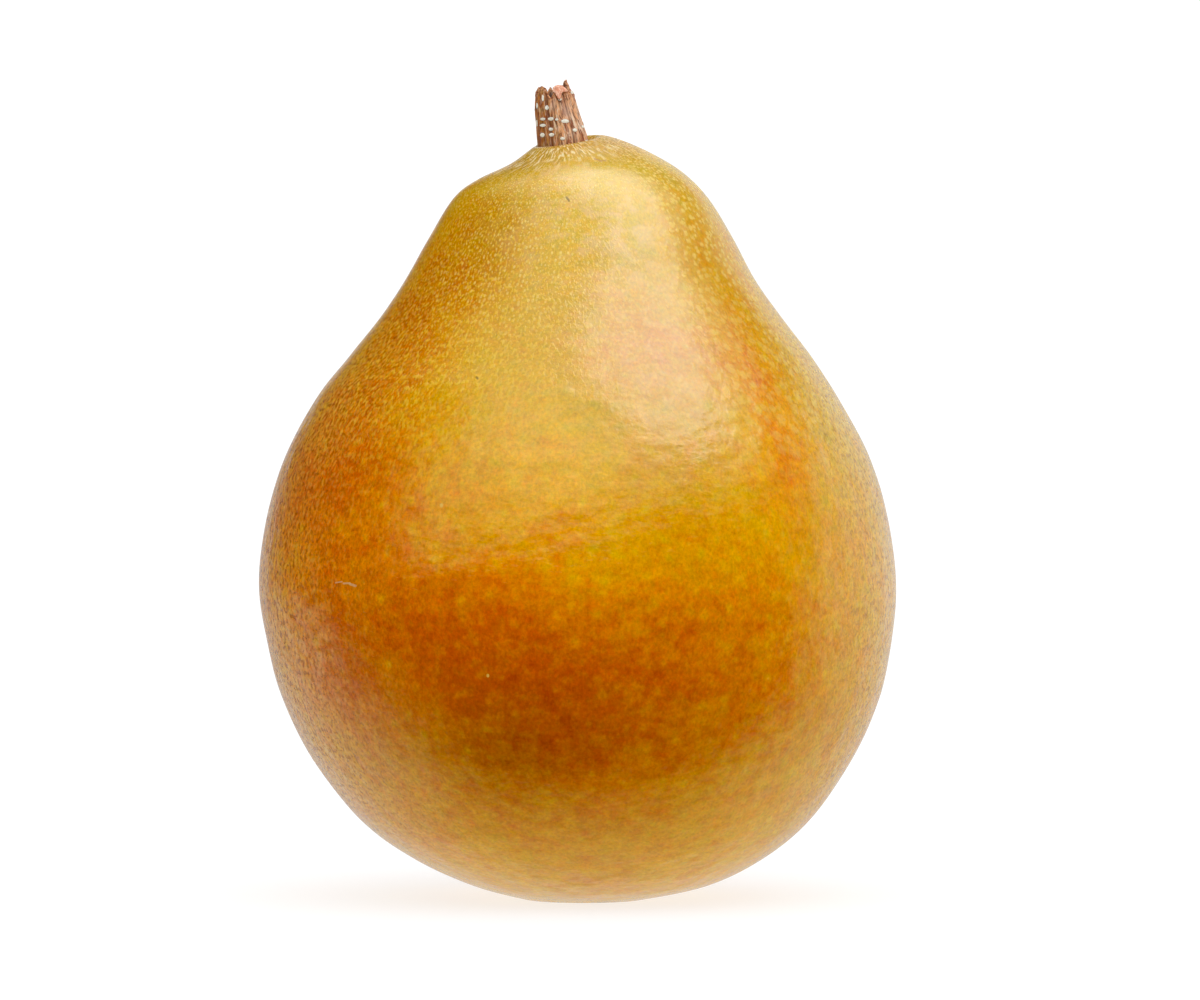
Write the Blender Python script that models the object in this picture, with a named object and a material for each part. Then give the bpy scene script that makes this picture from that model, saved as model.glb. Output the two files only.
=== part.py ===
"""A pear standing on its blossom end: the fruit, its stem and the dried calyx in the basin below.

Metres, +Z up. The origin is on the surface that the pear stands on, under the middle of its bounding box.
The photographed side faces -Y. Angles round the pear start at +X and run towards +Y.
"""

import math

import bmesh
import bpy
from mathutils import Vector

MM = 0.001

# The fruit's outline in mm, down from the stem socket over the shoulders and the belly to the calyx basin.
# Each ring is given by its left point and its right point, as (x, z). Rings at the shoulder tilt.
FRUIT_RINGS = (
    ((-1.80, 93.15), (-1.80, 93.15)),
    ((-4.90, 93.15), (1.25, 93.30)),
    ((-5.45, 93.38), (1.95, 94.30)),
    ((-5.75, 93.60), (3.35, 95.50)),
    ((-8.50, 92.00), (8.00, 93.95)),
    ((-12.75, 89.95), (13.00, 91.15)),
    ((-15.70, 87.60), (16.60, 87.60)),
    ((-18.85, 82.60), (19.65, 82.60)),
    ((-21.70, 77.60), (22.30, 77.60)),
    ((-25.00, 72.60), (25.85, 72.60)),
    ((-29.00, 67.60), (29.60, 67.60)),
    ((-32.95, 62.60), (32.85, 62.60)),
    ((-36.80, 55.20), (36.70, 55.20)),
    ((-39.00, 47.70), (39.00, 47.70)),
    ((-40.00, 39.50), (40.00, 39.50)),
    ((-39.00, 32.30), (39.40, 32.30)),
    ((-37.00, 25.00), (37.90, 25.00)),
    ((-33.30, 17.50), (34.60, 17.50)),
    ((-27.40, 10.00), (29.40, 10.00)),
    ((-20.70, 5.10), (23.50, 5.10)),
    ((-13.45, 1.75), (16.70, 1.75)),
    ((-6.90, 0.00), (8.60, 0.00)),
    ((-5.95, 0.00), (7.60, 0.00)),
    ((-5.30, 0.24), (6.90, 0.24)),
    ((-4.60, 0.95), (6.20, 0.95)),
    ((-3.95, 2.15), (5.55, 2.15)),
    ((-3.40, 3.65), (5.00, 3.65)),
    ((-2.55, 5.05), (4.15, 5.05)),
    ((-0.90, 5.80), (2.50, 5.80)),
    ((0.80, 5.95), (0.80, 5.95)),
)
SIDES = 64
STEPS_BETWEEN_RINGS = 2
STANDS_AT = 0.0

# The fruit is a little flatter from front to back than from side to side, and its neck leans back.
DEPTH_SHARE = 0.983
NECK_LEANS_BACK = 0.9
NECK_BEGINS_AT = 52.0
SHOULDER_LIFT_AT_BACK = 0.55
SHOULDER_BEGINS_AT = 88.0
SHOULDER_ENDS_AT = 95.5
SOCKET_RADIUS = 4.0

# Low lobes round the fruit: (lobes, share of the radius, height of their middle and reach in mm)
LOBES = (
    (2, 0.012, 30.0, 24.0),
    (3, 0.009, 62.0, 20.0),
    (5, 0.010, 14.0, 14.0),
    (4, 0.008, 86.0, 9.0),
)

# Broad swellings and hollows: (angle in degrees, height, reach and rise in mm)
SWELLINGS = (
    (292.0, 60.0, 13.0, 0.55),
    (238.0, 47.0, 15.0, -0.45),
    (262.0, 84.0, 10.0, -0.35),
    (75.0, 52.0, 16.0, 0.60),
    (128.0, 66.0, 12.0, -0.55),
    (40.0, 24.0, 14.0, -0.50),
    (150.0, 22.0, 15.0, 0.45),
)

# The stem in mm: each ring's height and how far it reaches to the left and to the right.
STEM_RINGS = (
    (93.50, -4.70, 0.95),
    (93.90, -5.02, 1.40),
    (94.60, -5.08, 1.46),
    (95.80, -5.18, 1.18),
    (96.90, -5.24, 0.80),
    (98.30, -5.38, 0.32),
    (99.80, -5.38, -0.18),
    (100.50, -5.28, -0.50),
)
STEM_SIDES = 30
STEM_Y = NECK_LEANS_BACK
STEM_DEPTH_SHARE = 0.94
STEM_RIBS = 7
STEM_RIB_DEPTH = 0.022
STEM_RIM_AT = 101.15
STEM_HOLLOW_AT = 100.25
# What stands up on the torn rim, and the notch in it: (angle and half-width in degrees, rise in mm)
STEM_RIM_PEAKS = (
    (38.0, 13.0, 1.50),
    (190.0, 42.0, 0.80),
    (252.0, 11.0, -0.70),
    (298.0, 28.0, 0.80),
    (95.0, 22.0, 0.35),
)
# The rim's rings: (share of the stem's radius, share of the rim's height over the hollow)
STEM_RIM_RINGS = (
    (0.96, 0.62),
    (0.84, 1.00),
    (0.68, 0.78),
    (0.46, 0.22),
)

# The calyx in mm, round its own axis in the basin
CALYX_X = 0.80
CALYX_ROOT_AT = 5.10
SEPALS = 5
SEPAL_LENGTH = 3.90
SEPAL_ROOT_RADIUS = 1.70
SEPAL_TIP_RADIUS = 3.10
SEPAL_HALF_WIDTH = 0.90
SEPAL_THICKNESS = 0.36
SEPAL_STEPS = 6
SEPAL_ACROSS = (-1.0, -0.5, 0.0, 0.5, 1.0)
# How a sepal leans out, narrows and thins towards its tip, cups across and shortens as it curls
SEPAL_LEAN_POWER = 1.6
SEPAL_NARROWS_BY = 0.93
SEPAL_NARROWING_POWER = 1.7
SEPAL_THINS_BY = 0.5
SEPAL_CUP = 0.22
SEPAL_CURL = 0.10
STAMENS_RADIUS = 1.05
STAMENS_LENGTH = 2.30
STAMENS_SIDES = 20
STAMENS_LOBES = 5
STAMENS_LOBE_DEPTH = 0.12
# The tuft's rings: (share of its length, share of its radius)
STAMENS_RINGS = (
    (0.00, 0.80),
    (0.15, 1.00),
    (0.45, 0.88),
    (0.75, 0.62),
    (0.93, 0.34),
)

# Looks: (base colour, roughness)
SKIN = ((0.62, 0.27, 0.018), 0.36)
BARK = ((0.23, 0.10, 0.045), 0.70)
DRY_SEPAL = ((0.10, 0.052, 0.026), 0.85)
DRY_STAMEN = ((0.055, 0.030, 0.018), 0.90)

# Edges flatter than this are shaded smooth.
SMOOTH_BELOW_DEGREES = 45.0


def clear_scene():
    for obj in list(bpy.data.objects):
        bpy.data.objects.remove(obj)


def make_material(name, look):
    colour, roughness = look
    material = bpy.data.materials.new(name)
    material.use_nodes = True
    shader = material.node_tree.nodes["Principled BSDF"]
    shader.inputs["Base Color"].default_value = (*colour, 1.0)
    shader.inputs["Roughness"].default_value = roughness
    shader.inputs["Metallic"].default_value = 0.0
    return material


def smoothstep(low, high, value):
    share = min(max((value - low) / (high - low), 0.0), 1.0)
    return share * share * (3.0 - 2.0 * share)


def bell(value, middle, reach):
    return math.exp(-(((value - middle) / reach) ** 2))


def angle_between(one, other):
    """The smaller angle between two directions round the axis, in radians."""
    return abs((one - other + math.pi) % (2.0 * math.pi) - math.pi)


def spline(values, at):
    """A smooth curve through values, read at a whole or part index."""
    index = min(int(at), len(values) - 2)
    share = at - index
    before, start = values[max(index - 1, 0)], values[index]
    end, after = values[index + 1], values[min(index + 2, len(values) - 1)]
    return 0.5 * (
        2.0 * start
        + (end - before) * share
        + (2.0 * before - 5.0 * start + 4.0 * end - after) * share**2
        + (3.0 * start - before - 3.0 * end + after) * share**3
    )


def lobed(angle, height):
    """How many times its plain radius the fruit has at an angle and a height."""
    share = 1.0
    for lobes, size, middle, reach in LOBES:
        share += size * bell(height, middle, reach) * math.sin(lobes * angle)
    return share


def swelling(angle, height, radius):
    """How far the fruit stands out from its plain shape, in mm."""
    rise = 0.0
    for where, middle, reach, size in SWELLINGS:
        across = angle_between(angle, math.radians(where)) * max(radius, 1.0)
        rise += size * bell(across, 0.0, reach) * bell(height, middle, reach)
    return rise


def fruit_point(at, angle):
    """The point of the fruit's surface, in mm, on a ring at an angle."""
    left_x = spline([ring[0][0] for ring in FRUIT_RINGS], at)
    left_z = spline([ring[0][1] for ring in FRUIT_RINGS], at)
    right_x = spline([ring[1][0] for ring in FRUIT_RINGS], at)
    right_z = spline([ring[1][1] for ring in FRUIT_RINGS], at)
    half_width = max((right_x - left_x) / 2.0, 0.0)
    height = (left_z + right_z) / 2.0 + (right_z - left_z) / 2.0 * math.cos(angle)
    shoulder = smoothstep(SHOULDER_BEGINS_AT, SHOULDER_ENDS_AT, height)
    out_of_socket = min(half_width / SOCKET_RADIUS, 1.0)
    height += SHOULDER_LIFT_AT_BACK * shoulder * out_of_socket * math.sin(angle)
    radius = 0.0
    if half_width > 0.0:
        radius = half_width * lobed(angle, height) + swelling(angle, height, half_width)
    lean = NECK_LEANS_BACK * smoothstep(NECK_BEGINS_AT, SHOULDER_ENDS_AT, height)
    return Vector(
        (
            (left_x + right_x) / 2.0 + radius * math.cos(angle),
            lean + radius * DEPTH_SHARE * math.sin(angle),
            max(height, STANDS_AT),
        )
    )


def stem_point(ring, angle):
    """The point of the stem's side, in mm, on a ring at an angle."""
    height, left, right = ring
    ribs = 1.0 + STEM_RIB_DEPTH * math.sin(STEM_RIBS * angle)
    radius = (right - left) / 2.0 * ribs
    return Vector(
        (
            (left + right) / 2.0 + radius * math.cos(angle),
            STEM_Y + radius * STEM_DEPTH_SHARE * math.sin(angle),
            height,
        )
    )


def rim_height(angle):
    """The height of the stem's torn rim at an angle, in mm."""
    height = STEM_RIM_AT
    for where, half_width, rise in STEM_RIM_PEAKS:
        off = math.degrees(angle_between(angle, math.radians(where)))
        height += rise * bell(off, 0.0, half_width)
    return height


def sepal_point(turn, along, across, outside):
    """A point of a sepal's inner or outer face, in mm, along its length and across its width."""
    lean = (SEPAL_TIP_RADIUS - SEPAL_ROOT_RADIUS) * along**SEPAL_LEAN_POWER
    radius = SEPAL_ROOT_RADIUS + lean - SEPAL_CUP * across**2
    if outside:
        radius += SEPAL_THICKNESS * (1.0 - SEPAL_THINS_BY * along)
    half_width = SEPAL_HALF_WIDTH * (1.0 - SEPAL_NARROWS_BY * along**SEPAL_NARROWING_POWER)
    sideways = half_width * across
    height = CALYX_ROOT_AT - SEPAL_LENGTH * (along - SEPAL_CURL * along**3)
    return Vector(
        (
            CALYX_X + radius * math.cos(turn) - sideways * math.sin(turn),
            radius * math.sin(turn) + sideways * math.cos(turn),
            height,
        )
    )


def make_object(name, built, look):
    """Makes one named object, with its own material, from a bmesh in mm."""
    for vertex in built.verts:
        vertex.co *= MM
    bmesh.ops.recalc_face_normals(built, faces=built.faces)
    mesh = bpy.data.meshes.new(name)
    built.to_mesh(mesh)
    built.free()
    mesh.materials.append(make_material(name, look))
    mesh.shade_smooth()
    mesh.set_sharp_from_angle(angle=math.radians(SMOOTH_BELOW_DEGREES))
    bpy.context.scene.collection.objects.link(bpy.data.objects.new(name, mesh))


def loft(rings, first_point, last_point):
    """A closed skin over rings of points, from a first point to a last one."""
    built = bmesh.new()
    rows = [[built.verts.new(point) for point in ring] for ring in rings]
    first, last = built.verts.new(first_point), built.verts.new(last_point)
    for row, following in zip(rows, rows[1:]):
        for side in range(len(row)):
            after = (side + 1) % len(row)
            built.faces.new((row[side], row[after], following[after], following[side]))
    for side in range(len(rows[0])):
        after = (side + 1) % len(rows[0])
        built.faces.new((first, rows[0][after], rows[0][side]))
        built.faces.new((last, rows[-1][side], rows[-1][after]))
    return built


def angles(count):
    return [2.0 * math.pi * side / count for side in range(count)]


def make_fruit():
    last = len(FRUIT_RINGS) - 1
    steps = [step / STEPS_BETWEEN_RINGS for step in range(1, last * STEPS_BETWEEN_RINGS)]
    rings = [[fruit_point(at, angle) for angle in angles(SIDES)] for at in steps]
    make_object("fruit", loft(rings, fruit_point(0, 0.0), fruit_point(last, 0.0)), SKIN)


def make_stem():
    turns = angles(STEM_SIDES)
    rings = [[stem_point(ring, angle) for angle in turns] for ring in STEM_RINGS]
    top = STEM_RINGS[-1]
    middle = Vector(((top[1] + top[2]) / 2.0, STEM_Y, STEM_HOLLOW_AT))
    for radius_share, height_share in STEM_RIM_RINGS:
        ring = []
        for angle in turns:
            across = middle.lerp(stem_point(top, angle), radius_share)
            over_hollow = rim_height(angle) - STEM_HOLLOW_AT
            ring.append(Vector((across.x, across.y, STEM_HOLLOW_AT + height_share * over_hollow)))
        rings.append(ring)
    foot_height, foot_left, foot_right = STEM_RINGS[0]
    foot = Vector(((foot_left + foot_right) / 2.0, STEM_Y, foot_height))
    make_object("stem", loft(rings, foot, middle), BARK)


def make_sepal(number):
    """One dried sepal: an inner and an outer face, joined along their edges."""
    turn = 2.0 * math.pi * (number - 0.5) / SEPALS
    built = bmesh.new()
    alongs = [step / SEPAL_STEPS for step in range(SEPAL_STEPS + 1)]
    inner, outer = (
        [
            [built.verts.new(sepal_point(turn, along, across, outside)) for across in SEPAL_ACROSS]
            for along in alongs
        ]
        for outside in (False, True)
    )
    for grid in (inner, outer):
        for row, following in zip(grid, grid[1:]):
            for side in range(len(row) - 1):
                built.faces.new((row[side], row[side + 1], following[side + 1], following[side]))
    for step in (0, SEPAL_STEPS):
        for side in range(len(SEPAL_ACROSS) - 1):
            built.faces.new(
                (inner[step][side], inner[step][side + 1], outer[step][side + 1], outer[step][side])
            )
    for side in (0, len(SEPAL_ACROSS) - 1):
        for step in range(SEPAL_STEPS):
            built.faces.new(
                (inner[step][side], inner[step + 1][side], outer[step + 1][side], outer[step][side])
            )
    make_object(f"sepal_{number}", built, DRY_SEPAL)


def make_dried_stamens():
    """The tuft in the eye of the calyx, a small lobed plug that narrows to its tip."""
    rings = []
    for along, width in STAMENS_RINGS:
        ring = []
        for angle in angles(STAMENS_SIDES):
            lobes = 1.0 + STAMENS_LOBE_DEPTH * along * math.cos(STAMENS_LOBES * angle)
            radius = STAMENS_RADIUS * width * lobes
            height = CALYX_ROOT_AT - STAMENS_LENGTH * along
            ring.append(Vector((CALYX_X + radius * math.cos(angle), radius * math.sin(angle), height)))
        rings.append(ring)
    root = Vector((CALYX_X, 0.0, CALYX_ROOT_AT))
    tip = Vector((CALYX_X, 0.0, CALYX_ROOT_AT - STAMENS_LENGTH))
    make_object("dried_stamens", loft(rings, root, tip), DRY_STAMEN)


def main():
    clear_scene()
    make_fruit()
    make_stem()
    for number in range(1, SEPALS + 1):
        make_sepal(number)
    make_dried_stamens()


main()
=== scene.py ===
"""A pear on a plain white ground, in soft studio light from above.

The fruit, the stem and the dried calyx are finer versions of the frame's nodes, at the same place and size.
Lengths are in mm up to the making of a mesh, and in metres from there. The photographed side faces -Y.
Angles round the pear start at +X and run towards +Y, so 270 degrees is the front.
"""

import math

import bpy
import numpy as np
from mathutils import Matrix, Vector, noise

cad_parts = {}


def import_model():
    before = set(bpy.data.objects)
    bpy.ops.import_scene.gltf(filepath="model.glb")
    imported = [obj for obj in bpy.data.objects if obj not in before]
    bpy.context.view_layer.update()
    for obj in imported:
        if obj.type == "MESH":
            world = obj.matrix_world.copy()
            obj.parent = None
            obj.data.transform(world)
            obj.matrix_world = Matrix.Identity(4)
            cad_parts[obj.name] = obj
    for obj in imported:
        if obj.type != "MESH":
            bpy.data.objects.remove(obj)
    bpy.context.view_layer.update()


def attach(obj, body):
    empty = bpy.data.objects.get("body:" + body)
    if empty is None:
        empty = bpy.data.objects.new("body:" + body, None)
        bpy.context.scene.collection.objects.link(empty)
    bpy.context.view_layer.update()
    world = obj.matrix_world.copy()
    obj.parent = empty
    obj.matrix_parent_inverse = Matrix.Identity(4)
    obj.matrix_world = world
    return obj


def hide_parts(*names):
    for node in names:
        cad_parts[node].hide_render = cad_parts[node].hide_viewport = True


MM = 0.001

# The fruit's outline, as in the solid model: (x and z of a ring's left point, x and z of its right point),
# from the stem down. Only the first rings differ, because here the flesh closes on the stem.
FRUIT_RINGS = (
    (-1.8, 93.6, -1.8, 93.6),
    (-4.9, 93.65, 1.25, 93.9),
    (-5.32, 93.95, 1.72, 94.55),
    (-5.6, 94.05, 3.35, 95.5),
    (-8.5, 92, 8, 93.95),
    (-12.75, 89.95, 13, 91.15),
    (-15.7, 87.6, 16.6, 87.6),
    (-18.85, 82.6, 19.65, 82.6),
    (-21.7, 77.6, 22.3, 77.6),
    (-25, 72.6, 25.85, 72.6),
    (-29, 67.6, 29.6, 67.6),
    (-32.95, 62.6, 32.85, 62.6),
    (-36.8, 55.2, 36.7, 55.2),
    (-39, 47.7, 39, 47.7),
    (-40, 39.5, 40, 39.5),
    (-39, 32.3, 39.4, 32.3),
    (-37, 25, 37.9, 25),
    (-33.3, 17.5, 34.6, 17.5),
    (-27.4, 10, 29.4, 10),
    (-20.7, 5.1, 23.5, 5.1),
    (-13.45, 1.75, 16.7, 1.75),
    (-6.9, 0, 8.6, 0),
    (-5.95, 0, 7.6, 0),
    (-5.3, 0.24, 6.9, 0.24),
    (-4.6, 0.95, 6.2, 0.95),
    (-3.95, 2.15, 5.55, 2.15),
    (-3.4, 3.65, 5, 3.65),
    (-2.55, 5.05, 4.15, 5.05),
    (-0.9, 5.8, 2.5, 5.8),
    (0.8, 5.95, 0.8, 5.95),
)
FRUIT_SIDES = 320
FRUIT_STEPS_BETWEEN_RINGS = 8
FRUIT_AXIS_X = 0.4
SKIN_MAP = "skin_place"
SEAM_AT = math.pi / 2
FRONT = 270
DEPTH_SHARE = 0.983
NECK_LEANS_BACK = 0.9
NECK_BEGINS_AT = 52
SHOULDER_LIFT_AT_BACK = 0.55
SHOULDER_BEGINS_AT = 88
SHOULDER_ENDS_AT = 95.5
SOCKET_RADIUS = 4
# Low lobes round the fruit: (lobes, share of the radius, height of their middle and reach)
LOBES = ((2, 0.012, 30, 24), (3, 0.009, 62, 20), (5, 0.01, 14, 14), (4, 0.008, 86, 9))
# Broad swellings and hollows: (angle, height, reach round, reach up, rise)
SWELLINGS = (
    (292, 60, 13, 13, 0.55),
    (238, 47, 15, 15, -0.45),
    (262, 84, 10, 10, -0.35),
    (75, 52, 16, 16, 0.6),
    (128, 66, 12, 12, -0.55),
    (40, 24, 14, 14, -0.5),
    (150, 22, 15, 15, 0.45),
)
# Small unevenness of the skin, which only ever sinks below the solid's surface: (size, depth)
LUMPS = ((12, 0.24), (4.5, 0.1))
# It sets in between these two distances from the axis
LUMPS_SET_IN = (4, 14)
# The calyx basin and the furrows in its wall
BASIN_HEIGHT = 6
BASIN_RADIUS = 6
FURROWS = 10
FURROW_DEPTH = 0.22

# How warm the skin's colour is, from 0 for olive yellow to 1 for deep orange: (height, warmth)
WARMTH = (
    (0, 0.38), (12, 0.5), (24, 0.55), (38, 0.55), (50, 0.44),
    (60, 0.32), (72, 0.26), (84, 0.24), (90, 0.14), (96, 0.22),
)
# How light the skin is painted at the front, as painted light and shade: (height, share)
PAINTED_LIGHT_AND_SHADE = (
    (0, 0.91), (7, 0.93), (13, 0.89), (20, 0.79), (27, 0.9), (34, 1.03),
    (42, 1.13), (50, 1.1), (58, 1.03), (68, 0.96), (80, 0.97), (88, 1),
)
# Patches of painted light and shade over that: (angle, height, reach round, reach up, lighter by)
PAINTED_SHADE_PATCHES = (
    (288, 68, 10, 15, -0.21),
    (315, 60, 6, 11, 0.15),
    (228, 85, 9, 9, -0.19),
    (213, 70, 7, 10, -0.1),
    (262, 41, 10, 6, 0.05),
    (262, 84, 6, 9, 0.12),
    (273, 84, 8, 8.5, 0.15),
    (272, 67, 8, 9, 0.04),
    (269, 55, 10, 8, 0.05),
    (256, 18, 8, 5, -0.13),
    (266, 53.5, 12, 7.5, 0.1),
    (301, 51, 7, 6, 0.06),
    (254, 24, 7, 5, -0.07),
    (218, 30, 8, 8, -0.05),
)
# Where the sun coloured the skin more or less than that: (angle, height, reach round, reach up, warmer by)
SUN_PATCHES = (
    (263, 27.5, 20, 8, 0.4),
    (275, 18, 15, 6, 0.26),
    (243, 36, 13, 8, 0.31),
    (257, 39.5, 6, 5, 0.05),
    (229, 53, 10, 9, 0.26),
    (208, 54, 11, 11, 0.4),
    (221, 41, 9, 9, 0.14),
    (294, 34, 13, 9, 0.2),
    (219, 30, 8, 8, 0.24),
    (300, 18, 10, 7, -0.12),
    (302, 24, 10, 6, 0.14),
    (328, 78, 8, 14, 0.16),
    (215, 75, 12, 15, 0.46),
    (246, 75, 8, 9, -0.08),
    (316, 64, 4.6, 9, 0.34),
    (313, 54, 5, 6, 0.12),
    (301, 67, 6, 6, 0.14),
    (284, 69, 5.5, 6, 0.24),
    (276, 77, 5, 5, 0.12),
    (270, 58, 16, 7, -0.12),
    (274, 84, 9, 11, -0.24),
    (200, 24, 12, 18, -0.06),
    (342, 34, 15, 30, -0.2),
    (150, 47, 22, 16, 0.4),
    (108, 33, 22, 10, 0.34),
    (66, 62, 12, 12, 0.18),
)
# Clouds and blotches in that warmth: (size, detail, roughness, strength)
BLOTCHES = ((6, 2, 0.55, 1.3), (2, 3, 0.6, 1.75), (0.8, 2, 0.55, 1.2))
# The skin's colour at each warmth
SKIN_COLOURS = (
    (0, (0.6, 0.4, 0.008)),
    (0.25, (0.72, 0.4, 0.008)),
    (0.5, (0.74, 0.32, 0.006)),
    (0.75, (0.7, 0.205, 0.004)),
    (1, (0.62, 0.12, 0.002)),
    (1.25, (0.52, 0.075, 0.001)),
)
CREAM = (0.9, 0.66, 0.15)
SPECK = (0.96, 0.76, 0.22)
GRAIN = (0.9, 0.59, 0.045)
PALE_LINE = (0.98, 0.88, 0.55)
# Pale colour for painted sheen, partly the skin's own wax
SHEEN_AND_BLOOM = (0.92, 0.6, 0.34)
TAN = (0.6, 0.31, 0.095)
FOOT_LINE = (0.86, 0.76, 0.56)
PORE = (0.34, 0.1, 0.006)
SCAR = (0.74, 0.5, 0.28)
BLACK_SPECK = (0.05, 0.02, 0.005)
PINK_SCAR = (0.52, 0.22, 0.1)

# Single marks on the front: (start and end as (x, z), half-width, colour)
MARKS = (
    ((-29.2, 40.35), (-28.4, 40.5), 0.08, SCAR),
    ((-28.2, 40.3), (-27.4, 40.35), 0.11, SCAR),
    ((-27.4, 40.25), (-26.7, 40.05), 0.15, SCAR),
    ((-12.1, 65.2), (-12, 65.1), 0.16, BLACK_SPECK),
    ((-1.3, 87.3), (-1, 86.9), 0.14, BLACK_SPECK),
    ((-16.2, 49.9), (-16.2, 49.8), 0.22, CREAM),
    ((-10.6, 29.6), (-10.6, 29.5), 0.18, CREAM),
    ((2.1, 92.3), (2.9, 92), 0.1, PINK_SCAR),
    ((2.9, 92), (3.5, 92.1), 0.08, PINK_SCAR),
)

# The stem's colours
# Darker on the left and lighter on the right: painted shade and light across the stem
BARK_SHADED_LEFT = (0.56, 0.19, 0.03)
BARK_LIT_RIGHT = (0.94, 0.48, 0.23)
BARK_SILVER = (1, 0.78, 0.58)
BARK_MAUVE = (0.8, 0.52, 0.38)
BARK_GOLD = (0.6, 0.36, 0.1)
BARK_RED = (0.38, 0.1, 0.032)
BARK_DARK = (0.16, 0.045, 0.016)
TORN_PINK = (0.7, 0.26, 0.14)
TORN_PALE = (0.9, 0.52, 0.35)
CRUST_DARK = (0.3, 0.07, 0.022)
CRUST_LIGHT = (0.86, 0.42, 0.19)
# Near black for painted shade in the stem's hollow and painted shadow under the flap
PAINTED_SHADE_COLOUR = (0.05, 0.028, 0.018)
PORE_CREAM = (1, 0.97, 0.84)

# The stem's broken top, in rings: (share of the radius, share of the rim's height, torn, dark with painted
# shade)
STEM_BREAK_RINGS = (
    (0.98, 1, 0.6, 0),
    (0.92, 1, 0.9, 0),
    (0.85, 0.9, 1, 0.3),
    (0.76, 0.62, 0.8, 0.8),
    (0.62, 0.32, 0.4, 0.95),
    (0.45, 0.14, 0.2, 1),
    (0.3, 0.06, 0.1, 0.9),
    (0.15, 0, 0, 1),
)
# The stem's sides, in rings: (height, x of its left point, x of its right point)
STEM_RINGS = (
    (93, -4.8, 1.1),
    (94, -5, 1.42),
    (94.7, -5.08, 1.44),
    (95.8, -5.18, 1.16),
    (96.9, -5.24, 0.78),
    (98.3, -5.36, 0.3),
    (99.8, -5.36, -0.18),
    (101, -5.26, -0.56),
    (102.6, -5.1, -0.95),
)
STEM_FOOT_X = -1.9
STEM_Y = NECK_LEANS_BACK
STEM_WIDTH = 5.6
STEM_RADIUS = 2.5
STEM_RADIUS_AT_BACK = 2.6
STEM_RADIUS_AT_RIM = 2.4
STEM_SIDES = 260
STEM_LAYERS = 96
STEM_DEPTH_SHARE = 0.94
STEM_RIM_AT = 101.0
STEM_TOP = 102.6
STEM_HOLLOW_AT = 100.1
STEM_CRUST = 0.95
# What stands up on the torn rim, and the notch in it: (angle and half-width in degrees, rise, sharpness)
STEM_RIM_PEAKS = (
    (39, 13, 1.52, 2.6),
    (61, 11, 0.8, 2.4),
    (221, 27, 0.52, 4),
    (256, 10, -0.85, 2),
    (103, 7, 0.62, 2),
    (86, 6, 0.95, 1.5),
)
# Low ribs and fine flutes down the stem: (number, depth as a share of the radius, how much they wander)
STEM_RIBS = ((7, 0.026, 0.4), (19, 0.018, 0.9), (41, 0.01, 1.6))
# Pale breathing pores in the bark that show from the front: (x, z, half-width, half-height)
STEM_PORES = (
    (-4.32, 100.1, 0.12, 0.3),
    (-3.82, 98.9, 0.24, 0.2),
    (-4.32, 97.5, 0.3, 0.13),
    (-3.32, 97.5, 0.34, 0.16),
    (-1.56, 97.2, 0.46, 0.17),
    (-4.32, 96.7, 0.36, 0.14),
    (-3.32, 96.2, 0.26, 0.14),
    (-0.36, 96.1, 0.26, 0.15),
    (0.65, 96.6, 0.18, 0.12),
    (-4.38, 95.5, 0.26, 0.2),
    (-3.23, 95.5, 0.32, 0.16),
    (-1.87, 95, 0.28, 0.14),
    (-2.23, 99.95, 0.22, 0.13),
    (-0.69, 100.9, 0.16, 0.16),
    (1.15, 94.8, 0.22, 0.1),
    (-2.6, 97.4, 0.2, 0.1),
    (-5.05, 99.2, 0.1, 0.26),
    (-5.1, 97, 0.12, 0.3),
)
# Patches of smooth mauve bark at the front: (x, z, half-width, half-height)
STEM_SMOOTH_PATCHES = ((-3, 99.3, 0.3, 0.75), (-1.35, 98.5, 0.55, 0.9))
STEM_BACK_PORES = 26
PORE_SEED = 5
PORE_TALLER = 1.3
PORE_RISE = 0.06
CRUMB_SIZE = 0.34
CRUMB_RISE = 0.14
# The torn flap of bark that hangs over the rim at the front
FLAP_FROM, FLAP_TO = math.radians(266), math.radians(310)
FLAP_ROOT_AT = 100.9
FLAP_TOP = 101.62
FLAP_EDGE_AT = 100.9
FLAP_TONGUE_AT = 99.9
FLAP_TONGUE_SHARE = 0.32
FLAP_TONGUE_WIDTH = 0.17
FLAP_THICKNESS = 0.14
FLAP_STEPS = 28
FLAP_BENDS_AT = 0.4

# The calyx, round its own axis in the basin
CALYX_X = 0.8
CALYX_ROOT_AT = 5.2
SEPALS = 5
SEPAL_LENGTH = 3.9
SEPAL_ROOT_RADIUS = 1.65
SEPAL_TIP_RADIUS = 3.1
SEPAL_HALF_WIDTH = 0.95
SEPAL_THICKNESS = 0.2
SEPAL_ROWS = 36
SEPAL_COLUMNS = 19
SEPAL_SEED = 20
SEPAL_DARK = (0.07, 0.032, 0.014)
SEPAL_LIGHT = (0.24, 0.135, 0.065)
STAMENS = 22
STAMENS_RADIUS = 1.15
STAMEN_LENGTH = 2.2
STAMEN_THICKNESS = 0.085
STAMEN_SIDES = 7
STAMEN_STEPS = 9
STAMEN_SEED = 31
STAMEN_DARK = (0.03, 0.015, 0.008)
STAMEN_LIGHT = (0.11, 0.062, 0.032)

WHITE = (1, 1, 1)
GROUND_RADIUS = 140
GROUND_SIDES = 96
GROUND_GLOW = 0.74
BACKDROP_GLOW = 1.1
# The soft lamps of the general light: (direction, cosines at the edge and the bright middle, strength)
LAMPS = (
    ((0.05, -0.55, 0.85), 0.6, 0.95, 2.15),
    ((1, -0.1, -0.1), 0.55, 0.95, 0.7),
    ((-1, -0.1, 0.1), 0.55, 0.95, 0.52),
)

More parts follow.
